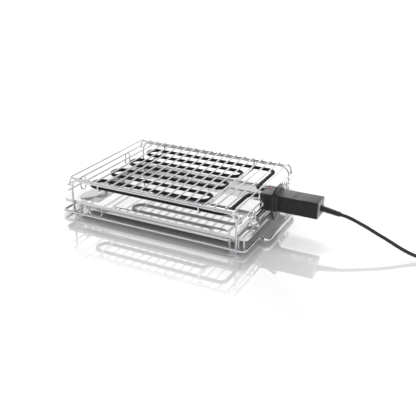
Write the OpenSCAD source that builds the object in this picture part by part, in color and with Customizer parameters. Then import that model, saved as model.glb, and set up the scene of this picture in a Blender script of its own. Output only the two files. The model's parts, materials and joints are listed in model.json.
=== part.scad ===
// Electric table grill: a chromed wire stand, a pressed drip tray, a looped heating element
// with its terminal box, a lift-off wire rack and a pull-off cord set.
// X runs along the long side towards the connector, Y to the back, Z up from the table.

/* [Grill rack] */
// Length of the rack between its end legs, centre to centre
rack_l = 360.6; // [340:0.2:380]
// Distance between the front and rear hoops, centre to centre
rack_w = 257; // [245:1:270]
// Diameter of the hoop wires of the rack and of the stand
hoop_d = 4; // [3.5:0.1:4.5]
// Diameter of the grill wires that carry the food
grill_wire_d = 3; // [2.5:0.1:3.4]
// Number of grill wires across the top
grill_wire_count = 19; // [12:1:22]
// Radius of the bends at the rack's top corners, on the wire's centre line
rack_bend_r = 9; // [7:0.5:12]
// How far the grill wires stand out past the hoops
grill_wire_overhang = 2.5; // [1:0.5:4]
// Depth of the upper side wires below the hoops
side_wire_drop = 14.3; // [13.5:0.1:16]
// Height of the upper side wires above the lower ones
side_wire_pitch = 12; // [11:0.5:14]
// Gap in the right-hand side wires where the terminal box stands
side_wire_gap = 60; // [52:1:90]
// Height of the lift loops on the side wires, centre line to centre line
lift_loop_h = 26; // [22:1:27]
// Width of the lift loops, centre line to centre line
lift_loop_w = 16; // [12:1:24]
// Distance between the two lift loops of one side
lift_loop_pitch = 160; // [120:2:200]

/* [Stand] */
// Height of the rack hoops above the table, at the wire's centre
rack_z = 82.3; // [80:0.1:86]
// Diameter of the wire of the base ring
ring_d = 5; // [4:0.1:5.4]
// Radius of the bends of the stand's hoops
stand_bend_r = 18; // [16:1:22]
// Height of the base ring above the table, at the wire's centre
ring_z = 9; // [8:0.5:10]
// Reach of the base ring to the left of the rack's centre
ring_left = 203; // [200:1:208]
// Reach of the base ring to the right of the rack's centre
ring_right = 192; // [190:1:200]
// Radius of the bends at the base ring's corners
ring_bend_r = 8; // [6:1:12]
// How far the handle bows stand out past the ring
bow_reach = 21; // [21:1:26]
// Length of the handle bows where they leave the ring
bow_root_l = 120; // [110:2:150]
// Radius of the bends where the handle bows leave the ring
bow_root_r = 5; // [4:0.5:5]
// Radius of the bends at the handle bows' outer corners
bow_bend_r = 8; // [6:0.5:8]
// Outer width of the corner feet
foot_w = 17; // [16:1:20]
// Distance from the rack's centre to the middle of a corner foot
foot_x = 170; // [160:1:171]
// Depth of the flat that is pressed on the underside of each foot
foot_flat = 0.3; // [0.2:0.1:0.5]
// Width of the tray rests on the left side
tray_rest_w = 30; // [24:1:36]
// Distance from the rack's centre to the tray rests
tray_rest_x = 127; // [115:1:130]

/* [Drip tray] */
// Reach of the tray to the left of the rack's centre
tray_left = 204; // [196:1:206]
// Reach of the tray to the right of the rack's centre
tray_right = 195; // [190:1:196]
// Height of the tray's flange above the table, at its top
tray_z = 35; // [34:0.5:37]
// Thickness of the tray's sheet
tray_t = 1; // [0.8:0.1:1.5]
// Depth of the tray's well below the flange
tray_depth = 19; // [14:1:20]
// Radius of the tray's corners
tray_corner_r = 10; // [8:1:16]
// Height of the turned-down lip round the tray
tray_lip = 6.5; // [5:0.5:7.5]
// Width of the flange at the tray's short ends
tray_end_flange = 26; // [22:1:34]
// Width of the flange along the tray's long sides
tray_side_flange = 9.5; // [8:0.5:14]
// How far the well's walls lean in from top to floor
tray_draft = 3; // [2:0.5:8]

/* [Heating element] */
// Diameter of the element's steel tube
element_d = 7; // [6:0.1:8]
// Distance between neighbouring runs of the element
element_pitch = 34; // [32:0.5:34]
// Height of the element above the table, at the tube's centre
element_z = 69; // [68:0.2:70]
// Reach of the element's left bends, at the tube's centre
element_left = 143.5; // [120:0.5:146]
// Reach of the element's right bends, at the tube's centre
element_right = 96.5; // [80:0.5:110]
// Distance from the rack's centre to the two lead legs
lead_x = 150; // [140:1:155]
// Distance between the two leads where they enter the box
lead_pitch = 32; // [28:1:32]
// Bend radius of the leads
lead_bend_r = 14; // [9:0.5:15]
// Distance from the rack's centre to the left and right cradles
cradle_left = 117; // [100:1:121]
// Distance from the rack's centre to the right cradle
cradle_right = 100; // [75:1:120]
// Diameter of the cradle wires
cradle_d = 3.5; // [3:0.1:4]

/* [Terminal box] */
// Distance from the rack's centre to the box's back wall
box_x = 175; // [172:1:178]
// Depth of the box along the grill's length
box_l = 22.5; // [20:0.5:26]
// Width of the box
box_w = 44; // [42:1:50]
// Height of the box
box_h = 33; // [30:0.5:34]
// Height of the box's underside above the table
box_z = 45; // [44:0.5:46]
// Wall thickness of the box
box_wall = 2; // [1.5:0.1:2.5]
// Thickness of the box's front plate
plate_t = 3; // [2.5:0.5:4]
// Diameter of the connector pins
pin_d = 6; // [5:0.1:6.5]
// Distance between the two live pins
pin_pitch = 19; // [18:0.5:20]
// Length of the pins in front of the box
pin_reach = 18; // [14:0.5:20]
// Depth of the live pins below the middle of the box
pin_drop = 3; // [2:0.5:4]
// Height of the earth pin above the live pins
earth_rise = 8; // [7.5:0.1:8.5]
// Diameter of the indicator lens
lens_d = 7; // [5:0.5:8]

/* [Connector] */
// Length of the connector's body behind its guard
body_l = 83.5; // [76:0.5:95]
// Width of the connector's body
body_w = 40; // [38:1:46]
// Height of the connector's body
body_h = 32; // [31:0.5:36]
// Wall thickness of the connector's shells
body_wall = 2.5; // [2:0.1:3]
// Radius of the body's long edges
body_edge_r = 3; // [2:0.5:4]
// Thickness of the finger guard
guard_t = 3.5; // [3:0.5:5]
// Width of the finger guard
guard_w = 52; // [48:1:60]
// Height of the finger guard above the connector's middle
guard_up = 32; // [28:1:34]
// Depth of the finger guard below the connector's middle
guard_down = 39; // [32:1:42]
// How far the guard's head leans away from the box for each millimetre of its rise
guard_lean = 0.35; // [0:0.05:0.5]
// Radius of the grip grooves
grip_r = 4; // [3:0.5:6]
// Depth of the grip grooves
grip_depth = 1.5; // [1:0.1:1.8]
// Length of the strain relief outside the body
boot_l = 38; // [30:1:50]
// Diameter of the strain relief at its root
boot_root_d = 12.5; // [12:0.5:13]
// Diameter of the strain relief at its tip
boot_tip_d = 10; // [8.5:0.5:10.5]
// How far the strain relief points down
boot_angle = 8; // [0:1:10]

/* [Cord] */
// Diameter of the cord
cord_d = 6.5; // [6:0.1:7]
// Radius of the coil's outer turn, at the cord's centre
coil_r = 48; // [46:1:54]
// Distance between neighbouring turns of the coil
coil_pitch = 7.2; // [7.1:0.1:8]
// Turns that the lower layer winds inwards
coil_turns_in = 2.5; // [1.5:0.5:2.5]
// Turns that the upper layer winds outwards
coil_turns_out = 2.75; // [1.75:1:2.75]
// Diameter of the mains plug's face
plug_d = 37; // [36:0.5:39]
// Length of the mains plug's body
plug_l = 34; // [30:1:40]
// Length of the mains plug's neck
plug_neck_l = 26; // [22:1:32]
// Diameter of the mains plug's pins
plug_pin_d = 4.8; // [4:0.1:5]
// Distance between the mains plug's pins
plug_pin_pitch = 19; // [18:0.5:20]
// Length of the mains plug's pins in front of its face
plug_pin_l = 19; // [17:0.5:20]

/* [Hidden] */
$fn = 32;

chrome = "silver";
polished = "gainsboro";
black = "#2a2a2a";
matt_black = "#161616";

// Gap between wires that are welded to each other
weld = 0.05;
// Running gap between pieces that come apart
gap = 0.3;
// Amount by which a cutting shape passes the face that it cuts
cut = 1;

hoop_r = hoop_d / 2;
grill_wire_r = grill_wire_d / 2;
ring_r = ring_d / 2;
cradle_r = cradle_d / 2;
element_r = element_d / 2;
half_l = rack_l / 2;
half_w = rack_w / 2;

// Stand: its hoops lie just under and just inside the hoops of the rack
stand_half_l = half_l - hoop_d - gap;
stand_top_z = rack_z - hoop_d - gap;
// The handle bows widen by three parts for each four that they reach out
bow_slope = 3 / 4;
stand_foot_z = ring_z + ring_r + weld;
inner_rail_y = half_w - ring_r - hoop_r - weld;
box_rest_x = stand_half_l + hoop_d + weld;
box_rest_z = box_z - 0.8;

// Tray: it rests by its lip on the feet and on the tray rests
tray_half_w = half_w - hoop_r - 1;
tray_len = tray_left + tray_right;
tray_mid_x = (tray_right - tray_left) / 2;
tray_lip_z = tray_z - tray_lip;
rest_top_z = tray_lip_z - gap;

// Rack
side_wire_x = half_l + hoop_r + grill_wire_r + weld;
grill_wire_z = rack_z + hoop_r + grill_wire_r + weld;
upper_side_z = rack_z - side_wire_drop;
lower_side_z = upper_side_z - side_wire_pitch;
rack_leg_end_z = upper_side_z - hoop_r;
lift_loop_x = side_wire_x + grill_wire_d + weld;
lift_loop_z = lower_side_z - 3;

// Element: eight runs, joined in pairs by half-round bends
run_end_left = -element_left + element_pitch / 2;
run_end_right = element_right - element_pitch / 2;
outer_run_y = 3.5 * element_pitch;
cradle_z = element_z - element_r - cradle_r - gap / 2;
box_front_x = box_x + box_l;
box_top_z = box_z + box_h;
pin_z = box_z + box_h / 2;
lead_end_x = box_x + box_wall + 7;

// Connector: it meets the front plate with a running gap
guard_x = box_front_x + gap;
body_x = guard_x + guard_t;
body_end_x = body_x + body_l;
body_z = pin_z;
boot_seat_r = 6.5;
boot_seat_x = body_end_x - 2;
boot_tip_x = boot_seat_x + (boot_l + 2) * cos(boot_angle);
boot_tip_z = body_z - (boot_l + 2) * sin(boot_angle);

// The origin lies under the middle of the whole outline without the cord
outline_left = -ring_left - bow_reach - ring_r;
outline_right = boot_tip_x + boot_tip_d / 2 * sin(boot_angle);
origin_x = (outline_left + outline_right) / 2;

// Cord
cord_r = cord_d / 2;
tie_t = 0.9;
coil_z = cord_r + tie_t;
coil_x = 522;
coil_in_r = coil_r - coil_pitch * coil_turns_in;
coil_out_r = coil_in_r + coil_pitch * coil_turns_out;
coil_turns = coil_turns_in + coil_turns_out;
coil_end_x = coil_x + coil_out_r;
plug_z = plug_d / 2 + 0.3;
tail_l = 46;
tail_y = coil_r + cord_d;
plug_y = tail_y + tail_l;
// Depth of the plug's pins inside its body
plug_pin_root = 10;

module placed() {
  translate([-origin_x, 0, 0]) children();
}

// Wire from a to b
module rod(a, b, r) {
  d = (b - a) / norm(b - a);
  s = abs(d.z) > 0.9 ? [1, 0, 0] : [0, 0, 1];
  u = cross(s, d) / norm(cross(s, d));
  v = cross(d, u);
  multmatrix([[u.x, v.x, d.x, a.x], [u.y, v.y, d.y, a.y], [u.z, v.z, d.z, a.z], [0, 0, 0, 1]])
    cylinder(h = norm(b - a), r = r);
}

function turn_of(u, v) = acos(max(-1, min(1, u * v)));
function setback(u, v, bend) = bend * tan(turn_of(u, v) / 2);
function dir(a, b) = (b - a) / norm(b - a);

// Bend at corner p, from direction u to direction v, round a centre line of radius bend
module elbow(p, u, v, bend, r) {
  n = (v - u * (u * v)) / norm(v - u * (u * v));
  c = p - u * setback(u, v, bend) + n * bend;
  w = cross(-n, u);
  multmatrix([[-n.x, u.x, w.x, c.x], [-n.y, u.y, w.y, c.y], [-n.z, u.z, w.z, c.z], [0, 0, 0, 1]])
    rotate_extrude(angle = turn_of(u, v), $fn = 64)
      translate([bend, 0]) circle(r = r, $fn = 24);
}

// Wire through the points, with round bends at its corners
module wire(points, bend, r) {
  n = len(points);
  for (i = [0 : n - 2]) {
    d = dir(points[i], points[i + 1]);
    from = i == 0 ? 0 : setback(dir(points[i - 1], points[i]), d, bend);
    to = i == n - 2 ? 0 : setback(d, dir(points[i + 1], points[i + 2]), bend);
    rod(points[i] + d * from, points[i + 1] - d * to, r, $fn = 24);
  }
  for (i = [1 : n - 2])
    elbow(points[i], dir(points[i - 1], points[i]), dir(points[i], points[i + 1]), bend, r);
}

// Closed wire through the points, with one bend radius for each of them
module closed_wire(points, bends, r) {
  n = len(points);
  for (i = [0 : n - 1]) {
    a = points[(i + n - 1) % n];
    b = points[i];
    c = points[(i + 1) % n];
    e = points[(i + 2) % n];
    d = dir(b, c);
    from = setback(dir(a, b), d, bends[i]);
    to = setback(d, dir(c, e), bends[(i + 1) % n]);
    rod(b + d * from, c - d * to, r, $fn = 24);
    elbow(b, dir(a, b), d, bends[i], r);
  }
}

// Rectangle with round corners, centred
module round_rect(l, w, r) {
  union() {
    square([l - 2 * r, w], center = true);
    square([l, w - 2 * r], center = true);
    for (x = [-1, 1], y = [-1, 1])
      translate([x * (l / 2 - r), y * (w / 2 - r)]) circle(r = r);
  }
}

module front_and_rear() {
  children();
  mirror([0, 1, 0]) children();
}

// Stand

module base_ring() {
  bow_in = bow_root_l / 2;
  bow_out = bow_in + bow_reach * bow_slope;
  left = -ring_left;
  right = ring_right;
  color(chrome) placed()
    closed_wire([
      [left, -half_w, ring_z], [right, -half_w, ring_z],
      [right, -bow_in, ring_z], [right + bow_reach, -bow_out, ring_z],
      [right + bow_reach, bow_out, ring_z], [right, bow_in, ring_z],
      [right, half_w, ring_z], [left, half_w, ring_z],
      [left, bow_in, ring_z], [left - bow_reach, bow_out, ring_z],
      [left - bow_reach, -bow_out, ring_z], [left, -bow_in, ring_z]
    ], [
      ring_bend_r, ring_bend_r, bow_root_r, bow_bend_r, bow_bend_r, bow_root_r,
      ring_bend_r, ring_bend_r, bow_root_r, bow_bend_r, bow_bend_r, bow_root_r
    ], ring_r);
}

module stand_hoop() {
  wire([
    [-stand_half_l, -half_w, stand_foot_z], [-stand_half_l, -half_w, stand_top_z],
    [stand_half_l, -half_w, stand_top_z], [stand_half_l, -half_w, stand_foot_z]
  ], stand_bend_r, hoop_r);
}

module front_hoop() {
  color(chrome) placed() stand_hoop();
}

module rear_hoop() {
  color(chrome) placed() mirror([0, 1, 0]) stand_hoop();
}

// A cradle hangs from the inner side of the two hoops and runs across under the element
module cradle(x) {
  y = half_w - hoop_r - cradle_r - weld;
  wire([
    [x, -y, stand_top_z + hoop_r], [x, -y, cradle_z],
    [x, y, cradle_z], [x, y, stand_top_z + hoop_r]
  ], 3, cradle_r);
}

module element_cradles() {
  color(chrome) placed() {
    cradle(-cradle_left);
    cradle(cradle_right);
  }
}

module box_rest_wire() {
  y = half_w + hoop_r;
  color(chrome) placed()
    rod([box_rest_x, -y, box_rest_z], [box_rest_x, y, box_rest_z], hoop_r, $fn = 24);
}

// One foot: a loop beside the ring that stands on the table and carries the tray's lip
module foot(x) {
  bottom = hoop_r - foot_flat;
  a = x - foot_w / 2;
  b = x + foot_w / 2;
  difference() {
    wire([
      [a, -inner_rail_y, rest_top_z], [a, -inner_rail_y, bottom],
      [b, -inner_rail_y, bottom], [b, -inner_rail_y, rest_top_z]
    ], 6, hoop_r);
    translate([x, -inner_rail_y, -hoop_r]) cube([foot_w * 2, hoop_d * 2, hoop_d], center = true);
  }
}

module corner_feet() {
  color(chrome) placed() front_and_rear() {
    foot(foot_x);
    foot(-foot_x);
  }
}

// Loops on the long rails at the left, and a short upright in each right-hand corner
module tray_rests() {
  a = -tray_rest_x - tray_rest_w / 2;
  b = -tray_rest_x + tray_rest_w / 2;
  upright_x = ring_right - ring_r - hoop_r - weld;
  upright_y = half_w - ring_bend_r;
  color(chrome) placed() front_and_rear() {
    wire([
      [a, -inner_rail_y, rest_top_z], [a, -inner_rail_y, ring_z],
      [b, -inner_rail_y, ring_z], [b, -inner_rail_y, rest_top_z]
    ], 8, hoop_r);
    rod([upright_x, -upright_y, ring_z - hoop_r], [upright_x, -upright_y, rest_top_z], hoop_r, $fn = 24);
  }
}

// Drip tray

// Solid between the well's mouth and its floor, grown outwards by g
module well(g, top_z, floor_z) {
  l = tray_len - 2 * tray_end_flange;
  w = 2 * (tray_half_w - tray_side_flange);
  hull() {
    translate([tray_mid_x, 0, top_z - 0.02])
      linear_extrude(0.02) round_rect(l + 2 * g, w + 2 * g, tray_corner_r + g);
    translate([tray_mid_x, 0, floor_z])
      linear_extrude(0.02)
        round_rect(l - 2 * tray_draft + 2 * g, w - 2 * tray_draft + 2 * g, tray_corner_r - 2 + g);
  }
}

module drip_tray() {
  floor_z = tray_z - tray_depth;
  color(polished) placed() difference() {
    union() {
      translate([tray_mid_x, 0, tray_lip_z]) linear_extrude(tray_lip)
        round_rect(tray_len, 2 * tray_half_w, tray_corner_r);
      well(tray_t, tray_z - tray_t, floor_z - tray_t);
    }
    difference() {
      translate([tray_mid_x, 0, tray_lip_z - cut]) linear_extrude(tray_lip - tray_t + cut)
        round_rect(tray_len - 2 * tray_t, 2 * (tray_half_w - tray_t), tray_corner_r - tray_t);
      well(tray_t, tray_z - tray_t + 0.02, floor_z - tray_t);
    }
    well(0, tray_z + cut, floor_z);
  }
}

// Rack

module rack_hoop() {
  wire([
    [-half_l, -half_w, rack_leg_end_z], [-half_l, -half_w, rack_z],
    [half_l, -half_w, rack_z], [half_l, -half_w, rack_leg_end_z]
  ], rack_bend_r, hoop_r);
}

module rack_front_hoop() {
  color(chrome) placed() rack_hoop();
}

module rack_rear_hoop() {
  color(chrome) placed() mirror([0, 1, 0]) rack_hoop();
}

module rack_grill_wires() {
  span = rack_l - 2 * rack_bend_r + 6;
  y = half_w + grill_wire_overhang;
  color(chrome) placed()
    for (i = [0 : grill_wire_count - 1]) {
      x = -span / 2 + i * span / (grill_wire_count - 1);
      rod([x, -y, grill_wire_z], [x, y, grill_wire_z], grill_wire_r, $fn = 24);
    }
}

// On the left two straight wires, on the right a closed hairpin on each side of the box
module rack_side_wires() {
  y = half_w + grill_wire_overhang;
  inner = side_wire_gap / 2;
  bend = side_wire_pitch / 2 - 0.5;
  color(chrome) placed() {
    for (z = [lower_side_z, upper_side_z])
      rod([-side_wire_x, -y, z], [-side_wire_x, y, z], grill_wire_r, $fn = 24);
    front_and_rear()
      wire([
        [side_wire_x, -y, upper_side_z], [side_wire_x, -inner, upper_side_z],
        [side_wire_x, -inner, lower_side_z], [side_wire_x, -y, lower_side_z]
      ], bend, grill_wire_r);
  }
}

module lift_loop(x, y) {
  a = lift_loop_w / 2;
  h = lift_loop_h / 2;
  closed_wire([
    [x, y - a, lift_loop_z - h], [x, y + a, lift_loop_z - h],
    [x, y + a, lift_loop_z + h], [x, y - a, lift_loop_z + h]
  ], [for (i = [0 : 3]) a - 0.5], grill_wire_r);
}

module rack_lift_loops() {
  color(chrome) placed()
    for (x = [-lift_loop_x, lift_loop_x], y = [-lift_loop_pitch / 2, lift_loop_pitch / 2])
      lift_loop(x, y);
}

// Heating element

module half_bend(x, y, side) {
  translate([x, y, element_z]) rotate([0, 0, side > 0 ? -90 : 90])
    rotate_extrude(angle = 180, $fn = 64)
      translate([element_pitch / 2, 0]) circle(r = element_r, $fn = 24);
}

module lead(side) {
  y = side * lead_pitch / 2;
  wire([
    [run_end_left, side * outer_run_y, element_z], [lead_x, side * outer_run_y, element_z],
    [lead_x, y, element_z], [lead_end_x, y, element_z]
  ], lead_bend_r, element_r);
}

module heating_element() {
  color(matt_black) placed() {
    for (i = [0 : 3])
      half_bend(run_end_left, (i - 1.5) * 2 * element_pitch, -1);
    for (i = [-1 : 1])
      half_bend(run_end_right, i * 2 * element_pitch, 1);
    for (i = [-2.5 : 1 : 2.5])
      rod([run_end_left, i * element_pitch, element_z], [run_end_right, i * element_pitch, element_z],
          element_r, $fn = 24);
    lead(-1);
    lead(1);
  }
}

// Threaded collars that clamp the tube in the box's back wall
module element_collars() {
  l = 3.5;
  color(polished) placed()
    for (y = [-lead_pitch / 2, lead_pitch / 2])
      translate([box_x - l - weld, y, element_z]) rotate([0, 90, 0])
        difference() {
          cylinder(h = l, r = element_r + 2.2, $fn = 6);
          translate([0, 0, -cut]) cylinder(h = l + 2 * cut, r = element_r + weld);
        }
}

// Terminal box

module box_inside(x, l) {
  translate([x, -box_w / 2 + box_wall, box_z + box_wall])
    cube([l, box_w - 2 * box_wall, box_h - 2 * box_wall]);
}

// Box profile across the grill's length, with rounded long edges
module box_profile() {
  rotate([90, 0, 90]) linear_extrude(box_l) round_rect(box_w, box_h, 1.5);
}

module box_shell() {
  color(black) placed() difference() {
    translate([box_x, 0, pin_z]) box_profile();
    box_inside(box_x + box_wall, box_l);
    translate([box_front_x - plate_t - weld, -box_w / 2 - cut, box_z - cut])
      cube([plate_t + cut, box_w + 2 * cut, box_h + 2 * cut]);
    for (y = [-lead_pitch / 2, lead_pitch / 2])
      translate([box_x - cut, y, element_z]) rotate([0, 90, 0])
        cylinder(h = box_wall + 2 * cut, r = element_r + weld);
    translate([box_x + box_l * 0.36, 6, box_top_z - box_wall - cut])
      cylinder(h = box_wall + 2 * cut, r = lens_d / 2 + weld);
    translate([box_rest_x, 0, box_rest_z]) rotate([90, 0, 0])
      cylinder(h = box_w + 2 * cut, r = hoop_r + gap, center = true);
  }
}

function pin_spots() =
  [[-pin_pitch / 2, -pin_drop], [pin_pitch / 2, -pin_drop], [0, earth_rise - pin_drop]];
function screw_spots() = [[-box_w / 2 + 5, -box_h / 2 + 5], [box_w / 2 - 5, -box_h / 2 + 5]];

module box_front_plate() {
  color(black) placed() difference() {
    translate([box_front_x - plate_t, 0, pin_z]) rotate([90, 0, 90])
      linear_extrude(plate_t) round_rect(box_w, box_h, 1.5);
    for (p = pin_spots())
      translate([box_front_x - plate_t - cut, p.x, pin_z + p.y]) rotate([0, 90, 0])
        cylinder(h = plate_t + 2 * cut, r = pin_d / 2 + weld);
    for (p = screw_spots())
      translate([box_front_x - plate_t - cut, p.x, pin_z + p.y]) rotate([0, 90, 0])
        cylinder(h = plate_t + 2 * cut, r = 1.5 + weld);
    for (p = screw_spots())
      translate([box_front_x - 1.4, p.x, pin_z + p.y]) rotate([0, 90, 0])
        cylinder(h = plate_t, r = 2.8);
  }
}

module box_screws() {
  head = 1.3;
  color(polished) placed()
    for (p = screw_spots())
      translate([box_front_x - head, p.x, pin_z + p.y]) rotate([0, 90, 0])
        difference() {
          union() {
            cylinder(h = head, r = 2.6);
            translate([0, 0, -6]) cylinder(h = 6, r = 1.5);
          }
          for (a = [0, 90])
            translate([0, 0, head]) rotate([0, 0, a]) cube([3.4, 0.7, 1.4], center = true);
        }
}

// Round pins with domed tips and a shoulder behind the plate
module connector_pins() {
  shoulder = 3;
  color(polished) placed()
    for (p = pin_spots())
      translate([box_front_x, p.x, pin_z + p.y]) rotate([0, 90, 0]) {
        translate([0, 0, -plate_t - 0.4]) cylinder(h = pin_reach + plate_t + 0.4 - 1.5, r = pin_d / 2);
        translate([0, 0, pin_reach - 1.5]) cylinder(h = 1.5, r1 = pin_d / 2, r2 = pin_d / 2 - 1.5);
        translate([0, 0, -plate_t - 0.4 - shoulder]) cylinder(h = shoulder, r = pin_d / 2 + 0.8);
      }
}

// Bent straps that take the current from the pins to the element's ends
module lead_straps() {
  t = 0.8;
  back_x = box_front_x - plate_t - 3.4 - weld;
  color("darkgoldenrod") placed()
    for (s = [-1, 1])
      translate([lead_end_x + weld, s * (pin_pitch / 2 + 3.2) - 2.5, pin_z - 3]) {
        cube([t, 8.2, element_z - pin_z + 5]);
        cube([back_x - lead_end_x - weld, 5, t]);
        translate([back_x - lead_end_x - weld - t, 0, 0]) cube([t, 5, 6]);
      }
}

module indicator_lens() {
  color("crimson") placed() translate([box_x + box_l * 0.36, 6, 0]) {
    translate([0, 0, box_top_z - box_wall]) cylinder(h = box_wall, r = lens_d / 2);
    translate([0, 0, box_top_z])
      intersection() {
        translate([0, 0, -lens_d * 0.55]) sphere(r = lens_d * 0.75, $fn = 48);
        cylinder(h = lens_d, r = lens_d / 2 + 0.8);
      }
  }
}

module indicator_lamp() {
  top_z = box_top_z - box_wall - gap;
  color("orange") placed() translate([box_x + box_l * 0.36, 6, 0]) {
    translate([0, 0, top_z - 2]) sphere(r = 2);
    translate([0, 0, top_z - 7]) cylinder(h = 5, r = 2);
    for (y = [-0.8, 0.8])
      translate([0, y, top_z - 10]) cylinder(h = 3.2, r = 0.3);
  }
}

// Connector

// Outline of the finger guard: a round head over a tapered lower lip
module guard_outline() {
  r = guard_w / 2;
  toe = 5;
  union() {
    translate([0, guard_up - r]) circle(r = r, $fn = 64);
    polygon([
      [-r, guard_up - r], [-r * 0.96, -body_h / 2 + 2], [-r * 0.58, -guard_down + toe],
      [-r * 0.58 + toe * 0.7, -guard_down], [r * 0.58 - toe * 0.7, -guard_down],
      [r * 0.58, -guard_down + toe], [r * 0.96, -body_h / 2 + 2], [r, guard_up - r]
    ]);
  }
}

// Front of the connector that shows its socket face through the guard
module socket_window(x, l, g) {
  w = body_w - 2 * body_wall - 3;
  h = body_h - 2 * body_wall - 4;
  translate([x, 0, body_z + 1]) rotate([90, 0, 90])
    linear_extrude(l) round_rect(w + 2 * g, h + 2 * g, 4);
}

// Upright plate of the guard, whose head leans away from the box above the body's top
module guard_plate() {
  lean_from = body_h / 2;
  translate([guard_x, 0, body_z]) {
    rotate([90, 0, 90]) linear_extrude(guard_t) intersection() {
      guard_outline();
      translate([-guard_w, lean_from - 4 * guard_w]) square([2 * guard_w, 4 * guard_w]);
    }
    multmatrix([[1, 0, guard_lean, -guard_lean * lean_from], [0, 1, 0, 0], [0, 0, 1, 0], [0, 0, 0, 1]])
      rotate([90, 0, 90]) linear_extrude(guard_t) intersection() {
        guard_outline();
        translate([-guard_w, lean_from]) square([2 * guard_w, guard_w]);
      }
  }
}

module connector_guard() {
  collar = 6;
  color(black) placed() difference() {
    union() {
      guard_plate();
      hull() {
        translate([body_x - 0.5, 0, body_z]) rotate([90, 0, 90])
          linear_extrude(0.5) round_rect(body_w + 8, body_h + 6, 8);
        translate([body_x + collar, 0, body_z]) rotate([90, 0, 90])
          linear_extrude(0.2) round_rect(body_w + 2, body_h + 2.4, body_edge_r + 1);
      }
    }
    socket_window(guard_x - cut, guard_t + 2 * cut, weld);
    translate([body_x, 0, body_z]) rotate([90, 0, 90])
      linear_extrude(collar + 2 * cut) round_rect(body_w + 2 * weld, body_h + 2 * weld, body_edge_r + weld);
  }
}

// The whole connector body before it is split into its two halves
module connector_body() {
  difference() {
    union() {
      translate([body_x, 0, body_z]) rotate([90, 0, 90])
        linear_extrude(body_l) round_rect(body_w, body_h, body_edge_r);
      for (x = [34, 39])
        translate([body_x + x, -13, body_z + body_h / 2 - 0.2]) cube([1.4, 26, 0.8]);
    }
    translate([body_x - cut, -body_w / 2 + body_wall, body_z - body_h / 2 + body_wall])
      cube([body_l - 4 + cut, body_w - 2 * body_wall, body_h - 2 * body_wall]);
    for (x = [22.5, 45.5], s = [-1, 1])
      translate([body_x + x, s * (body_w / 2 + grip_r - grip_depth), body_z - body_h / 2 + 4])
        cylinder(h = body_h - 8, r = grip_r);
    translate([body_end_x - 6, 0, body_z]) rotate([0, 90, 0]) cylinder(h = 8, r = boot_seat_r + gap);
  }
}

module connector_shell_upper() {
  color(black) placed() intersection() {
    connector_body();
    translate([body_x - cut, -body_w, body_z + weld / 2]) cube([body_l + 2 * cut, 2 * body_w, body_h]);
  }
}

module shell_screw_x() {
  for (x = [body_l * 0.45, body_l - boot_seat_r - 7])
    translate([body_x + x, 0, 0]) children();
}

module connector_shell_lower() {
  color(black) placed() difference() {
    intersection() {
      connector_body();
      translate([body_x - cut, -body_w, body_z - body_h - weld / 2]) cube([body_l + 2 * cut, 2 * body_w, body_h]);
    }
    shell_screw_x() translate([0, 0, body_z - body_h / 2 - cut]) cylinder(h = body_wall + 2 * cut, r = 2);
    shell_screw_x() translate([0, 0, body_z - body_h / 2 - cut]) cylinder(h = 1.5 + cut, r = 3.3);
  }
}

module connector_screws() {
  bottom = body_z - body_h / 2;
  color(polished) placed()
    shell_screw_x() translate([0, 0, bottom + 0.2])
      difference() {
        union() {
          cylinder(h = 1.3, r = 3);
          cylinder(h = 12, r = 1.7);
        }
        for (a = [0, 90])
          rotate([0, 0, a]) cube([3.6, 0.8, 1.4], center = true);
      }
}

// Heat-proof block with one bore for each pin, between the guard and the cable space
module socket_block() {
  l = 22;
  color("#3a2f28") placed() difference() {
    socket_window(guard_x, l, 0);
    for (p = pin_spots())
      translate([guard_x - cut, p.x, body_z + p.y]) rotate([0, 90, 0])
        cylinder(h = l + 2 * cut, r = pin_d / 2 + gap + 0.8 + weld);
  }
}

module socket_contacts() {
  l = 21;
  color("darkgoldenrod") placed()
    for (p = pin_spots())
      translate([guard_x + 0.5, p.x, body_z + p.y]) rotate([0, 90, 0])
        difference() {
          cylinder(h = l, r = pin_d / 2 + gap + 0.8);
          translate([0, 0, -cut]) cylinder(h = l - 1.5 + cut, r = pin_d / 2 + gap);
        }
}

// Tapered strain relief with rings, seated by its ball end in the connector's end wall
module strain_relief() {
  ribs = 8;
  start = 4;
  rib_pitch = (boot_l - start) / ribs;
  function boot_r(z) = boot_root_d / 2 + (boot_tip_d - boot_root_d) / 2 * z / (boot_l + 2);
  color(black) placed() translate([boot_seat_x, 0, body_z]) rotate([0, 90 + boot_angle, 0]) {
    sphere(r = boot_seat_r, $fn = 48);
    rotate_extrude() union() {
      polygon([
        [0, 0], [boot_r(0) - 1, 0], [boot_tip_d / 2 - 1, boot_l + 2], [0, boot_l + 2]
      ]);
      for (i = [0 : ribs - 1]) {
        z = 2 + start + i * rib_pitch;
        w = rib_pitch * 0.62;
        polygon([
          [0, z], [boot_r(z) - 1, z], [boot_r(z), z + 0.5], [boot_r(z + w), z + w - 0.5],
          [boot_r(z + w) - 1, z + w], [0, z + w]
        ]);
      }
    }
  }
}

// Cord set

// Ring of points round p, square to direction d
function ring_at(p, d, r, sides) =
  let (s = [0, 0, 1], u = cross(s, d) / norm(cross(s, d)), v = cross(d, u))
  [for (i = [0 : sides - 1]) p + r * (cos(i * 360 / sides) * u + sin(i * 360 / sides) * v)];

function heading(p, i) =
  let (n = len(p), a = p[max(0, i - 1)], b = p[min(n - 1, i + 1)]) (b - a) / norm(b - a);

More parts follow.
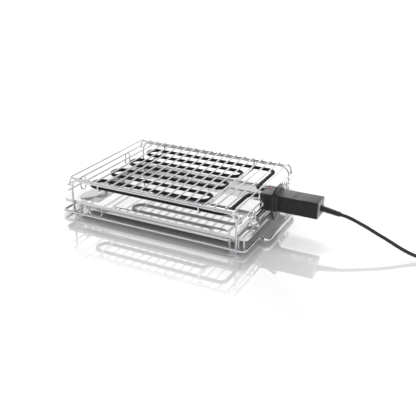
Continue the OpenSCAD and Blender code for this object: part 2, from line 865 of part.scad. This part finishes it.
// Round tube along the points, first and last rings square to the given directions
module tube(points, r, sides, first, last) {
  n = len(points);
  dirs = [for (i = [0 : n - 1]) i == 0 ? first : i == n - 1 ? last : heading(points, i)];
  rings = [for (i = [0 : n - 1]) each ring_at(points[i], dirs[i], r, sides)];
  skin = [for (i = [0 : n - 2], j = [0 : sides - 1])
    let (a = i * sides + j, b = i * sides + (j + 1) % sides)
      each [[a, a + sides, b], [b, a + sides, b + sides]]];
  caps = [for (j = [1 : sides - 2]) each [[0, j, j + 1],
    [(n - 1) * sides, (n - 1) * sides + j + 1, (n - 1) * sides + j]]];
  polyhedron(points = rings, faces = concat(skin, caps), convexity = 6);
}

boot_dir = [cos(boot_angle), 0, -sin(boot_angle)];
cord_start = [boot_tip_x, 0, boot_tip_z];
cord_route = [
  [340, 0, 52.5], [356, -1, 47.5], [372, -2, 42], [388, -4, 36], [404, -5, 30],
  [420, -6, 23.5], [436, -6, 16.5], [452, -5, 10.5], [468, -3, 6.5], [484, -1, 4.6], [500, 0, 4.2]
];

module cord() {
  end = [coil_x - cord_d, 0, coil_z];
  color(matt_black) placed()
    tube(concat([cord_start, cord_start + 7 * boot_dir], cord_route, [end]), cord_r, 8, boot_dir, [1, 0, 0]);
}

// Coil: in along the lower layer, up a layer where the spiral reverses, out along the upper layer
function coil_radius(t) = t < coil_turns_in
  ? coil_r - coil_pitch * t : coil_in_r + coil_pitch * (t - coil_turns_in);
function coil_height(t) =
  coil_z + coil_pitch * max(0, min(1, (t - coil_turns_in + 0.25) / 0.5));
function coil_point(t) = let (r = coil_radius(t), a = t * 360 - 90)
  [coil_x + r * cos(a), coil_r + r * sin(a), coil_height(t)];
coil_steps = coil_turns * 24;
coil_route = [for (i = [0 : coil_steps]) coil_point(i / 24)];
coil_end = coil_point(coil_turns);

// Least distance between centre lines of turns that lie more than half a turn apart
coil_gap = min([for (i = [0 : coil_steps - 13], j = [i + 13 : coil_steps])
  norm(coil_route[i] - coil_route[j])]) - cord_d;

module cord_coil() {
  echo(least_gap_of_coil = coil_gap);
  first = coil_route[0] - [cord_d, 0, 0];
  last = coil_end + [0, cord_d, 0];
  color(matt_black) placed()
    tube(concat([first], coil_route, [last]), cord_r, 6, [1, 0, 0], [0, 1, 0]);
}

// Strap round the coil's turns on the side away from the lead
module cord_tie() {
  in_r = coil_in_r - cord_r - 1.2;
  out_r = coil_r + coil_pitch * 0.5 + cord_r + 1.2;
  h = coil_pitch + cord_d + 1.2;
  w = 9;
  color("dimgray") placed()
    translate([coil_x, coil_r, 0]) rotate([0, 0, 90 + 45]) translate([(in_r + out_r) / 2, 0, 0])
      rotate([90, 0, 0]) linear_extrude(w, center = true)
        difference() {
          translate([0, (h + 2 * tie_t - 0.3) / 2]) round_rect(out_r - in_r + 2, h + 2 * tie_t - 0.3, 3);
          translate([0, (h + 2 * tie_t - 0.3) / 2]) round_rect(out_r - in_r, h, 2.2);
        }
}

// Short lead from the coil up to the mains plug
module cord_tail() {
  a = coil_end + [0, cord_d, 0];
  rise = plug_z - a.z;
  run = plug_y - a.y;
  steps = 8;
  points = [for (i = [0 : steps])
    let (t = i / steps) a + [0, run * t, rise * (1 - cos(180 * max(0, min(1, (t - 0.12) / 0.76)))) / 2]];
  color(matt_black) placed() tube(points, cord_r, 8, [0, 1, 0], [0, 1, 0]);
}

// Two-pole plug with a tapered, ringed neck and a round face
module mains_plug_body() {
  face_r = plug_d / 2;
  neck = plug_neck_l;
  plug_end = neck + plug_l;
  color(black) placed() translate([coil_end_x, plug_y, plug_z]) rotate([-90, 0, 0])
    difference() {
      rotate_extrude($fn = 64) union() {
        polygon([
          [0, 0], [4.6, 0], [5.6, neck * 0.7], [9, neck], [12.5, neck + 5], [13.5, neck + 14],
          [face_r - 1, plug_end - 14], [face_r, plug_end - 12], [face_r, plug_end - 1],
          [face_r - 1, plug_end], [0, plug_end]
        ]);
        for (i = [0 : 4])
          translate([0, 2 + i * 3.6]) square([6.6 + i * 0.25, 2]);
      }
      for (s = [-1, 1])
        translate([s * face_r, 0, plug_end]) cube([5, 6, 28], center = true);
      for (s = [-1, 1])
        translate([0, s * plug_pin_pitch / 2, plug_end - plug_pin_root])
          cylinder(h = plug_pin_root + cut, r = plug_pin_d / 2 + weld);
    }
}

module mains_plug_pins() {
  face_y = plug_y + plug_neck_l + plug_l;
  tip = 2;
  straight = plug_pin_root + plug_pin_l - tip;
  color(polished) placed()
    for (s = [-1, 1])
      translate([coil_end_x, face_y - plug_pin_root, plug_z + s * plug_pin_pitch / 2]) rotate([-90, 0, 0]) {
        cylinder(h = straight, r = plug_pin_d / 2);
        translate([0, 0, straight]) cylinder(h = tip, r1 = plug_pin_d / 2, r2 = plug_pin_d / 5);
      }
}

base_ring();
front_hoop();
rear_hoop();
element_cradles();
box_rest_wire();
corner_feet();
tray_rests();
drip_tray();
rack_front_hoop();
rack_rear_hoop();
rack_grill_wires();
rack_side_wires();
rack_lift_loops();
heating_element();
element_collars();
box_shell();
box_front_plate();
box_screws();
connector_pins();
indicator_lens();
indicator_lamp();
lead_straps();
connector_guard();
connector_shell_upper();
connector_shell_lower();
socket_block();
socket_contacts();
connector_screws();
strain_relief();
cord();
cord_coil();
cord_tie();
cord_tail();
mains_plug_body();
mains_plug_pins();
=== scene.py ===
import bpy
import bmesh
import json
import math
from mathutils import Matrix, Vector


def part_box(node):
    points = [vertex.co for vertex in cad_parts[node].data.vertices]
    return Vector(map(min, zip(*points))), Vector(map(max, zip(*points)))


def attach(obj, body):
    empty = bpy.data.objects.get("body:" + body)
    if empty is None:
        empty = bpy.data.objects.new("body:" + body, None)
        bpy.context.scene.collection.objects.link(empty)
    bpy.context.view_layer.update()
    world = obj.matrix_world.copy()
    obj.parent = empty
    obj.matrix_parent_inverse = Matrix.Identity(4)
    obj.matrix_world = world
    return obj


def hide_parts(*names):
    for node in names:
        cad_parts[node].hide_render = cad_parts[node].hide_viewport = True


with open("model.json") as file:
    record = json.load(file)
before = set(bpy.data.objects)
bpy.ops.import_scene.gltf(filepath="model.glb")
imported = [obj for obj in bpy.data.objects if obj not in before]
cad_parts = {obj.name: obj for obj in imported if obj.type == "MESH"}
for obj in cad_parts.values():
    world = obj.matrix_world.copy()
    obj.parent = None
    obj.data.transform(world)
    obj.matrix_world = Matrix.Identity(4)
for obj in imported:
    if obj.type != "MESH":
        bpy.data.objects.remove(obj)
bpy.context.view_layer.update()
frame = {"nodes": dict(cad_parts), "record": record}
nodes = frame["nodes"]
scene = bpy.context.scene

MM = 0.001

# Camera: place in metres, sensor in millimetres, angles in degrees, all for corners seen in the photo
PHOTO_WIDTH_PX = 416.0
FOCAL_LENGTH_PX = 625.21
SENSOR_WIDTH = 36.0
CAMERA_AT = (0.5235, -1.0108, 0.5281)
CAMERA_DOWN = 24.358
CAMERA_LEFT = 27.052
CAMERA_NEAREST = 0.02
CAMERA_FARTHEST = 60.0

# Cord: the values of part.scad in millimetres. part.scad moves all its pieces left by ORIGIN_X.
ORIGIN_X = 48.3033
CORD_D = 6.5

# Strain relief: its seat in the connector, its reach and droop, and the cord's straight stretch after it
BOOT_SEAT_X = 282.8
BOOT_SEAT_Z = 61.5
BOOT_REACH = 40.0
BOOT_ANGLE = math.radians(8.0)
BOOT_LEAD = 7.0

# The way down to the table
CORD_LAY = [
    (340, 0, 52.5), (356, -1, 47.5), (372, -2, 42), (388, -4, 36), (404, -5, 30), (420, -6, 23.5),
    (436, -6, 16.5), (452, -5, 10.5), (468, -3, 6.5), (484, -1, 4.6), (500, 0, 4.2),
]

# Coil: a flat spiral in, a climb over the thickness of one pitch, and a flat spiral out
COIL_R = 48.0
COIL_PITCH = 7.2
COIL_TURNS_IN = 2.5
COIL_TURNS_OUT = 2.75
COIL_CLIMB_TURNS = 0.5
COIL_POINTS_PER_TURN = 24
COIL_X = 522.0
TIE_T = 0.9
COIL_Z = CORD_D / 2 + TIE_T
COIL_IN_R = COIL_R - COIL_PITCH * COIL_TURNS_IN

# Tail: its length, and the shares of it where its rise to the plug starts and over which it goes on
TAIL_L = 46.0
TAIL_STEPS = 8
TAIL_RISE_START = 0.12
TAIL_RISE_SHARE = 0.76
PLUG_D = 37.0
PLUG_FLOOR_GAP = 0.3
PLUG_Y = COIL_R + CORD_D + TAIL_L
PLUG_Z = PLUG_D / 2 + PLUG_FLOOR_GAP

# Fineness of the smooth cord: steps between two points of its route, and Blender's bevel resolution
CORD_CURVE_STEPS = 3
CORD_BEVEL_RESOLUTION = 6

# Edge rounding of the moulded pieces, in millimetres
EDGE_ROUNDING = {
    "box_shell": 0.7,
    "box_front_plate": 0.7,
    "connector_guard": 0.6,
    "connector_shell_upper": 0.6,
    "connector_shell_lower": 0.6,
}
EDGE_SEGMENTS = 2
SHARP_ANGLE = math.radians(35.0)
WELD_REACH = 0.02

# Floor, in metres. Its glow has a small share under the grill, which paints a shadow there, and rises to
# its full strength over a stretch that is given by two distances outside the base ring.
FLOOR_HALF = 14.0
FLOOR_Z = -0.0005
FLOOR_COLOUR = (0.96, 0.96, 0.96)
FLOOR_MIRROR_COLOUR = (0.97, 0.98, 0.98)
FLOOR_MIRROR_SHARE = 0.42
FLOOR_MIRROR_ROUGHNESS = 0.02
FLOOR_GLOW = 0.18
GLOW_SHARE_IN_PAINTED_SHADOW = 0.1
GLOW_RISE = (-0.03, 0.18)

# Studio room: its colours, and the stretches of a direction's Z, or Y in the last one, over which
# one colour blends into the next. The front wall is behind the camera.
LOW_WALL = (1.0, 1.0, 1.0)
BACK_WALL = (1.15, 1.15, 1.15)
FRONT_WALL = (0.2, 0.202, 0.205)
FRONT_STRIP = (1.05, 1.05, 1.05)
CEILING = (0.6, 0.6, 0.605)
LOW_WALL_TOP = (0.22, 0.4)
BACK_WALL_TOP = (0.42, 0.58)
STRIP_FOOT = (0.5, 0.56)
STRIP_TOP = (0.72, 0.78)
CEILING_EDGE = (0.8, 0.95)
FRONT_TO_BACK = (-0.3, 0.4)

# Key light: the direction it comes from, its strength, and how wide it looks in degrees
KEY_FROM = (-0.267, 0.524, 0.809)
KEY_STRENGTH = 1.5
KEY_WIDTH = 20.0


# Camera
def add_camera():
    data = bpy.data.cameras.new("camera")
    data.sensor_width = SENSOR_WIDTH
    data.sensor_fit = "HORIZONTAL"
    data.lens = SENSOR_WIDTH * FOCAL_LENGTH_PX / PHOTO_WIDTH_PX
    data.clip_start = CAMERA_NEAREST
    data.clip_end = CAMERA_FARTHEST
    camera = bpy.data.objects.new("camera", data)
    camera.location = CAMERA_AT
    camera.rotation_euler = (math.radians(90.0 - CAMERA_DOWN), 0.0, math.radians(CAMERA_LEFT))
    scene.collection.objects.link(camera)
    scene.camera = camera


add_camera()


# Node helpers
def new_material(name):
    mat = bpy.data.materials.new(name)
    mat.use_nodes = True
    return mat, mat.node_tree, mat.node_tree.nodes["Principled BSDF"]


def put(tree, value, socket):
    """Link a node's output to the socket, or set the socket to a number or a colour."""
    if isinstance(value, bpy.types.NodeSocket):
        tree.links.new(value, socket)
    elif isinstance(value, tuple):
        socket.default_value = (*value, 1)
    else:
        socket.default_value = value


def coords(tree, scale=(1, 1, 1)):
    """The place of a point on the object in metres, stretched by the scale."""
    place = tree.nodes.new("ShaderNodeTexCoord")
    mapping = tree.nodes.new("ShaderNodeMapping")
    mapping.inputs["Scale"].default_value = scale
    put(tree, place.outputs["Object"], mapping.inputs["Vector"])
    return mapping.outputs["Vector"]


def split(tree, vector):
    """The vector's three numbers, as outputs named X, Y and Z."""
    node = tree.nodes.new("ShaderNodeSeparateXYZ")
    put(tree, vector, node.inputs["Vector"])
    return node.outputs


def noise(tree, vector, scale, detail=4.0, rough=0.55, distortion=0.0):
    node = tree.nodes.new("ShaderNodeTexNoise")
    node.inputs["Scale"].default_value = scale
    node.inputs["Detail"].default_value = detail
    node.inputs["Roughness"].default_value = rough
    node.inputs["Distortion"].default_value = distortion
    put(tree, vector, node.inputs["Vector"])
    return node.outputs["Fac"]


def ramp(tree, value, low, high, start=0.3, end=0.7, smooth=False):
    """A number that goes from low to high while the value goes from start to end."""
    node = tree.nodes.new("ShaderNodeMapRange")
    node.interpolation_type = "SMOOTHSTEP" if smooth else "LINEAR"
    node.inputs["From Min"].default_value = start
    node.inputs["From Max"].default_value = end
    node.inputs["To Min"].default_value = low
    node.inputs["To Max"].default_value = high
    put(tree, value, node.inputs["Value"])
    return node.outputs["Result"]


def two_tone(tree, value, low, high, start=0.3, end=0.7):
    """A colour that goes from low to high while the value goes from start to end."""
    node = tree.nodes.new("ShaderNodeValToRGB")
    first, last = node.color_ramp.elements
    first.position = start
    first.color = (*low, 1)
    last.position = end
    last.color = (*high, 1)
    put(tree, value, node.inputs["Fac"])
    return node.outputs["Color"]


def mix(tree, kind, factor, a, b):
    """Goes from a to b with the factor. The kind is FLOAT for numbers and RGBA for colours."""
    node = tree.nodes.new("ShaderNodeMix")
    node.data_type = kind
    put(tree, factor, node.inputs["Factor"])
    put(tree, a, node.inputs["A"])
    put(tree, b, node.inputs["B"])
    return node.outputs["Result"]


def maths(tree, operation, a, b=0.0):
    node = tree.nodes.new("ShaderNodeMath")
    node.operation = operation
    put(tree, a, node.inputs[0])
    put(tree, b, node.inputs[1])
    return node.outputs["Value"]


def bump(tree, bsdf, height, strength, distance):
    node = tree.nodes.new("ShaderNodeBump")
    node.inputs["Strength"].default_value = strength
    node.inputs["Distance"].default_value = distance
    put(tree, height, node.inputs["Height"])
    put(tree, node.outputs["Normal"], bsdf.inputs["Normal"])


def facing_down(tree):
    """1 where the surface faces the table, 0 on walls and tops."""
    geometry = tree.nodes.new("ShaderNodeNewGeometry")
    up = split(tree, geometry.outputs["Normal"])["Z"]
    return ramp(tree, up, 1.0, 0.0, start=-0.75, end=-0.35)


# Materials
def chrome_wire():
    """Bright plating, a little cloudy, with a very fine ripple."""
    mat, tree, bsdf = new_material("chrome_wire")
    place = coords(tree)
    cloudy = noise(tree, place, scale=35.0, detail=3.0)
    bsdf.inputs["Metallic"].default_value = 1.0
    put(tree, two_tone(tree, cloudy, (0.67, 0.68, 0.7), (0.79, 0.79, 0.8)), bsdf.inputs["Base Color"])
    put(tree, ramp(tree, cloudy, 0.03, 0.09), bsdf.inputs["Roughness"])
    bump(tree, bsdf, noise(tree, place, scale=900.0), strength=0.06, distance=0.0002)
    return mat


def tray_steel():
    """Bright rolled sheet: a hazy mirror with a faint grain along its length, dull below, with painted
    shade on what faces down.
    """
    mat, tree, bsdf = new_material("tray_steel")
    grain = noise(tree, coords(tree, scale=(3.0, 260.0, 260.0)), scale=5.0, detail=5.0, rough=0.6)
    haze = noise(tree, coords(tree), scale=22.0, rough=0.6, distortion=0.4)
    below = facing_down(tree)
    top_colour = two_tone(tree, haze, (0.84, 0.84, 0.84), (0.9, 0.9, 0.895))
    # Painted shade: a dark colour on what faces down, standing in for the shadow under the tray.
    painted_shade_under_colour = two_tone(tree, haze, (0.13, 0.13, 0.125), (0.2, 0.195, 0.185))
    top_rough = ramp(tree, haze, 0.02, 0.05)
    under_rough = ramp(tree, haze, 0.45, 0.6)
    bsdf.inputs["Metallic"].default_value = 0.7
    put(tree, mix(tree, "RGBA", below, top_colour, painted_shade_under_colour), bsdf.inputs["Base Color"])
    put(tree, mix(tree, "FLOAT", below, top_rough, under_rough), bsdf.inputs["Roughness"])
    bump(tree, bsdf, grain, strength=0.012, distance=0.0001)
    return mat


def element_sheath():
    """Black baked sheath of the heating tube, patchy and fairly dull."""
    mat, tree, bsdf = new_material("element_sheath")
    place = coords(tree)
    patch = noise(tree, place, scale=60.0, detail=5.0)
    base = two_tone(tree, patch, (0.004, 0.004, 0.0045), (0.013, 0.0125, 0.013), start=0.25, end=0.75)
    bsdf.inputs["Specular IOR Level"].default_value = 0.25
    put(tree, base, bsdf.inputs["Base Color"])
    put(tree, ramp(tree, patch, 0.5, 0.68), bsdf.inputs["Roughness"])
    bump(tree, bsdf, noise(tree, place, scale=1500.0, detail=3.0), strength=0.25, distance=0.0002)
    return mat


def plated_steel():
    """Plated collars, screws and pins."""
    mat, tree, bsdf = new_material("plated_steel")
    place = coords(tree)
    cloudy = noise(tree, place, scale=120.0, detail=3.0)
    bsdf.inputs["Metallic"].default_value = 1.0
    put(tree, two_tone(tree, cloudy, (0.66, 0.65, 0.62), (0.78, 0.77, 0.74)), bsdf.inputs["Base Color"])
    put(tree, ramp(tree, cloudy, 0.16, 0.3), bsdf.inputs["Roughness"])
    bump(tree, bsdf, noise(tree, place, scale=2500.0), strength=0.05, distance=0.0001)
    return mat


def moulded(name, low, high, rough_low, rough_high, grain_scale=2200.0, grain=0.18, specular=0.5,
            sheen=0.0, sheen_rough=0.4):
    """Moulded plastic or rubber with a fine grain."""
    mat, tree, bsdf = new_material(name)
    place = coords(tree)
    cloudy = noise(tree, place, scale=45.0)
    bsdf.inputs["Specular IOR Level"].default_value = specular
    bsdf.inputs["Sheen Weight"].default_value = sheen
    bsdf.inputs["Sheen Roughness"].default_value = sheen_rough
    put(tree, two_tone(tree, cloudy, low, high), bsdf.inputs["Base Color"])
    put(tree, ramp(tree, cloudy, rough_low, rough_high), bsdf.inputs["Roughness"])
    fine = noise(tree, place, scale=grain_scale, detail=3.0, rough=0.6)
    bump(tree, bsdf, fine, strength=grain, distance=0.0003)
    return mat


def black_plastic():
    """Shells of the box and the connector: near black, with a soft sheen at low angles."""
    return moulded("black_plastic", (0.006, 0.006, 0.0065), (0.011, 0.011, 0.012), 0.3, 0.4,
                   specular=0.3, sheen=1.0)


def brown_phenolic():
    """Heat-proof block that holds the socket's contacts."""
    return moulded("brown_phenolic", (0.045, 0.03, 0.022), (0.075, 0.05, 0.036), 0.35, 0.5)


def cord_rubber():
    """Lead and strain relief, a little greyer than the shells."""
    return moulded("cord_rubber", (0.013, 0.013, 0.014), (0.022, 0.022, 0.023), 0.36, 0.5,
                   grain_scale=1400.0, grain=0.12)


def tie_plastic():
    """Strap round the coil."""
    return moulded("tie_plastic", (0.05, 0.05, 0.052), (0.1, 0.1, 0.1), 0.6, 0.8,
                   grain_scale=900.0, grain=0.6)


def plug_rubber():
    """Body of the mains plug."""
    return moulded("plug_rubber", (0.018, 0.018, 0.019), (0.03, 0.03, 0.031), 0.42, 0.56)


def red_lens():
    """Clouded red lens over the indicator lamp."""
    mat, tree, bsdf = new_material("red_lens")
    place = coords(tree)
    base = two_tone(tree, noise(tree, place, scale=600.0), (0.55, 0.13, 0.17), (0.72, 0.24, 0.29))
    bsdf.inputs["Transmission Weight"].default_value = 0.35
    bsdf.inputs["IOR"].default_value = 1.49
    put(tree, base, bsdf.inputs["Base Color"])
    put(tree, ramp(tree, noise(tree, place, scale=240.0), 0.08, 0.2), bsdf.inputs["Roughness"])
    bump(tree, bsdf, noise(tree, place, scale=1800.0), strength=0.05, distance=0.0001)
    return mat


def lamp_glass():
    """Tinted glass of the lamp behind the lens."""
    mat, tree, bsdf = new_material("lamp_glass")
    tint = noise(tree, coords(tree), scale=500.0)
    bsdf.inputs["Roughness"].default_value = 0.05
    bsdf.inputs["Transmission Weight"].default_value = 0.8
    put(tree, two_tone(tree, tint, (0.9, 0.55, 0.35), (1.0, 0.75, 0.55)), bsdf.inputs["Base Color"])
    return mat


def contact_brass():
    """Brass that has dulled a little in the heat."""
    mat, tree, bsdf = new_material("contact_brass")
    cloudy = noise(tree, coords(tree), scale=160.0)
    bsdf.inputs["Metallic"].default_value = 1.0
    put(tree, two_tone(tree, cloudy, (0.62, 0.44, 0.2), (0.78, 0.6, 0.3)), bsdf.inputs["Base Color"])
    put(tree, ramp(tree, cloudy, 0.2, 0.4), bsdf.inputs["Roughness"])
    return mat


MATERIALS = {
    "chrome_wire": chrome_wire(),
    "tray_steel": tray_steel(),
    "element_sheath": element_sheath(),
    "plated_steel": plated_steel(),
    "black_plastic": black_plastic(),
    "red_lens": red_lens(),
    "lamp_glass": lamp_glass(),
    "contact_brass": contact_brass(),
    "brown_phenolic": brown_phenolic(),
    "cord_rubber": cord_rubber(),
    "tie_plastic": tie_plastic(),
    "plug_rubber": plug_rubber(),
}


def finish_nodes():
    """Give each CAD node the material of its slot, and smooth shading."""
    slots = {part["node"]: part["material_slot"] for part in frame["record"]["subparts"]}
    for name, obj in nodes.items():
        obj.data.materials.clear()
        obj.data.materials.append(MATERIALS[slots[name]])
        for polygon in obj.data.polygons:
            polygon.use_smooth = True


finish_nodes()


# Cord
def placed(x, y, z):
    """A point of part.scad in millimetres, as a point of the frame in metres."""
    return Vector(((x - ORIGIN_X) * MM, y * MM, z * MM))


def clamp(value):
    return max(0.0, min(1.0, value))


def coil_point(turn):
    """In along the lower layer, up a layer where the spiral reverses, out along the upper layer."""
    if turn < COIL_TURNS_IN:
        radius = COIL_R - COIL_PITCH * turn
    else:
        radius = COIL_IN_R + COIL_PITCH * (turn - COIL_TURNS_IN)
    angle = math.radians(turn * 360 - 90)
    climb = clamp((turn - COIL_TURNS_IN + COIL_CLIMB_TURNS / 2) / COIL_CLIMB_TURNS)
    x = COIL_X + radius * math.cos(angle)
    y = COIL_R + radius * math.sin(angle)
    return (x, y, COIL_Z + COIL_PITCH * climb)


def cord_route():
    """From the strain relief down to the table, round the coil and up to the mains plug."""
    def along_boot(distance):
        return (BOOT_SEAT_X + distance * math.cos(BOOT_ANGLE), 0.0,
                BOOT_SEAT_Z - distance * math.sin(BOOT_ANGLE))

    route = [along_boot(BOOT_REACH), along_boot(BOOT_REACH + BOOT_LEAD)]
    route += CORD_LAY
    route.append((COIL_X - CORD_D, 0.0, COIL_Z))
    turns = COIL_TURNS_IN + COIL_TURNS_OUT
    coil_steps = round(turns * COIL_POINTS_PER_TURN)
    route += [coil_point(i / COIL_POINTS_PER_TURN) for i in range(coil_steps + 1)]
    x, y, z = coil_point(turns)
    y += CORD_D
    for i in range(TAIL_STEPS + 1):
        share = i / TAIL_STEPS
        rise = clamp((share - TAIL_RISE_START) / TAIL_RISE_SHARE)
        lift = (1 - math.cos(math.pi * rise)) / 2
        route.append((x, y + (PLUG_Y - y) * share, z + (PLUG_Z - z) * lift))
    return [placed(*point) for point in route]


def through(points, steps):
    """Centripetal curve through the points, with the given number of steps between neighbours."""
    def between(a, b, start, end, at):
        return a * ((end - at) / (end - start)) + b * ((at - start) / (end - start))

    before = points[0] * 2 - points[1]
    after = points[-1] * 2 - points[-2]
    p = [before, *points, after]
    curve = []
    for p0, p1, p2, p3 in zip(p, p[1:], p[2:], p[3:]):
        t0 = 0.0
        t1 = t0 + math.sqrt((p1 - p0).length)
        t2 = t1 + math.sqrt((p2 - p1).length)
        t3 = t2 + math.sqrt((p3 - p2).length)
        for k in range(steps):
            at = t1 + (t2 - t1) * k / steps
            a1 = between(p0, p1, t0, t1, at)
            a2 = between(p1, p2, t1, t2, at)
            a3 = between(p2, p3, t2, t3, at)
            b1 = between(a1, a2, t0, t2, at)
            b2 = between(a2, a3, t1, t3, at)
            curve.append(between(b1, b2, t1, t2, at))
    curve.append(points[-1])
    return curve


def add_cord():
    """One smooth tube in place of the three cord solids."""
    line = through(cord_route(), CORD_CURVE_STEPS)
    data = bpy.data.curves.new("cord_set", "CURVE")
    data.dimensions = "3D"
    data.bevel_depth = CORD_D / 2 * MM
    data.bevel_resolution = CORD_BEVEL_RESOLUTION
    data.use_fill_caps = True
    spline = data.splines.new("POLY")
    spline.points.add(len(line) - 1)
    for point, place in zip(spline.points, line):
        point.co = (*place, 1.0)
    spline.use_smooth = True
    obj = bpy.data.objects.new("cord_set", data)
    scene.collection.objects.link(obj)
    data.materials.append(MATERIALS["cord_rubber"])
    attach(obj, "connector")
    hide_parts("cord", "cord_coil", "cord_tail")


add_cord()


# Edges of the moulded pieces
def soften_edges(name, width):
    """Round the hard edges of a moulded piece a little, so that they catch the light."""
    obj = nodes[name]
    weld = obj.modifiers.new("weld", "WELD")
    weld.merge_threshold = WELD_REACH * MM
    bevel = obj.modifiers.new("bevel", "BEVEL")
    bevel.width = width * MM
    bevel.segments = EDGE_SEGMENTS
    bevel.limit_method = "ANGLE"
    bevel.angle_limit = SHARP_ANGLE
    bevel.harden_normals = True


for name, width in EDGE_ROUNDING.items():
    soften_edges(name, width)


# Floor, studio room and key light
def glow_share_with_painted_shadow(tree):
    """The glow's share: small under the grill, where it paints a shadow, rising to 1 a little way
    outside its base ring.
    """
    low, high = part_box("base_ring")
    place = split(tree, coords(tree))

    def beyond(value, start, end):
        """How far the value lies outside the stretch from start to end."""
        from_middle = maths(tree, "ABSOLUTE", maths(tree, "SUBTRACT", value, (start + end) / 2))
        return maths(tree, "SUBTRACT", from_middle, (end - start) / 2)

    beyond_x = beyond(place["X"], low[0], high[0])
    beyond_y = beyond(place["Y"], low[1], high[1])
    far = maths(tree, "MAXIMUM", beyond_x, beyond_y)
    start, end = GLOW_RISE
    return ramp(tree, far, GLOW_SHARE_IN_PAINTED_SHADOW, 1.0, start, end, smooth=True)


def floor_glow(tree):
    """A little light of its own for the rays that see the floor, so that it reads as white, kept low
    under the grill to paint a shadow there.
    """
    path = tree.nodes.new("ShaderNodeLightPath")
    seen = maths(tree, "MAXIMUM", path.outputs["Is Camera Ray"], path.outputs["Is Glossy Ray"])
    seen = maths(tree, "MAXIMUM", seen, path.outputs["Is Transmission Ray"])
    share = maths(tree, "MULTIPLY", seen, glow_share_with_painted_shadow(tree))
    emission = tree.nodes.new("ShaderNodeEmission")
    put(tree, maths(tree, "MULTIPLY", share, FLOOR_GLOW), emission.inputs["Strength"])
    return emission.outputs["Emission"]


def floor_material():
    """White table top, part matt and part mirror, with its glow added."""
    mat = bpy.data.materials.new("floor")
    mat.use_nodes = True
    tree = mat.node_tree
    tree.nodes.clear()
    out = tree.nodes.new("ShaderNodeOutputMaterial")
    matt = tree.nodes.new("ShaderNodeBsdfDiffuse")
    put(tree, FLOOR_COLOUR, matt.inputs["Color"])
    mirror = tree.nodes.new("ShaderNodeBsdfGlossy")
    put(tree, FLOOR_MIRROR_COLOUR, mirror.inputs["Color"])
    mirror.inputs["Roughness"].default_value = FLOOR_MIRROR_ROUGHNESS
    top = tree.nodes.new("ShaderNodeMixShader")
    top.inputs["Fac"].default_value = FLOOR_MIRROR_SHARE
    put(tree, matt.outputs["BSDF"], top.inputs[1])
    put(tree, mirror.outputs["BSDF"], top.inputs[2])
    lit = tree.nodes.new("ShaderNodeAddShader")
    put(tree, top.outputs["Shader"], lit.inputs[0])
    put(tree, floor_glow(tree), lit.inputs[1])
    put(tree, lit.outputs["Shader"], out.inputs["Surface"])
    return mat


def add_floor():
    bm = bmesh.new()
    corners = [(-FLOOR_HALF, -FLOOR_HALF), (FLOOR_HALF, -FLOOR_HALF), (FLOOR_HALF, FLOOR_HALF),
               (-FLOOR_HALF, FLOOR_HALF)]
    bm.faces.new([bm.verts.new((x, y, FLOOR_Z)) for x, y in corners])
    mesh = bpy.data.meshes.new("floor")
    bm.to_mesh(mesh)
    bm.free()
    mesh.materials.append(floor_material())
    floor = bpy.data.objects.new("floor", mesh)
    scene.collection.objects.link(floor)


def add_world():
    """Studio room: white low down and at the back, a dim front with a strip of light, a grey ceiling."""
    world = bpy.data.worlds.new("studio")
    scene.world = world
    world.use_nodes = True
    tree = world.node_tree
    tree.nodes.clear()
    out = tree.nodes.new("ShaderNodeOutputWorld")
    background = tree.nodes.new("ShaderNodeBackground")
    place = tree.nodes.new("ShaderNodeTexCoord")
    direction = split(tree, place.outputs["Generated"])

    def blend(axis, stretch, a, b):
        """From a to b over a stretch of the direction's number along the axis."""
        start, end = stretch
        share = ramp(tree, direction[axis], 0.0, 1.0, start, end, smooth=True)
        return mix(tree, "RGBA", share, a, b)

    back = blend("Z", BACK_WALL_TOP, BACK_WALL, CEILING)
    front = blend("Z", STRIP_FOOT, FRONT_WALL, FRONT_STRIP)
    front = blend("Z", STRIP_TOP, front, FRONT_WALL)
    walls = blend("Y", FRONT_TO_BACK, front, back)
    walls = blend("Z", LOW_WALL_TOP, LOW_WALL, walls)
    room = blend("Z", CEILING_EDGE, walls, CEILING)
    put(tree, room, background.inputs["Color"])
    put(tree, background.outputs["Background"], out.inputs["Surface"])


def add_key_light():
    data = bpy.data.lights.new("key", "SUN")
    data.energy = KEY_STRENGTH
    data.angle = math.radians(KEY_WIDTH)
    light = bpy.data.objects.new("key", data)
    light.rotation_euler = Vector(KEY_FROM).to_track_quat("Z", "Y").to_euler()
    scene.collection.objects.link(light)


add_floor()
add_world()
add_key_light()

scene.view_settings.view_transform = "Standard"
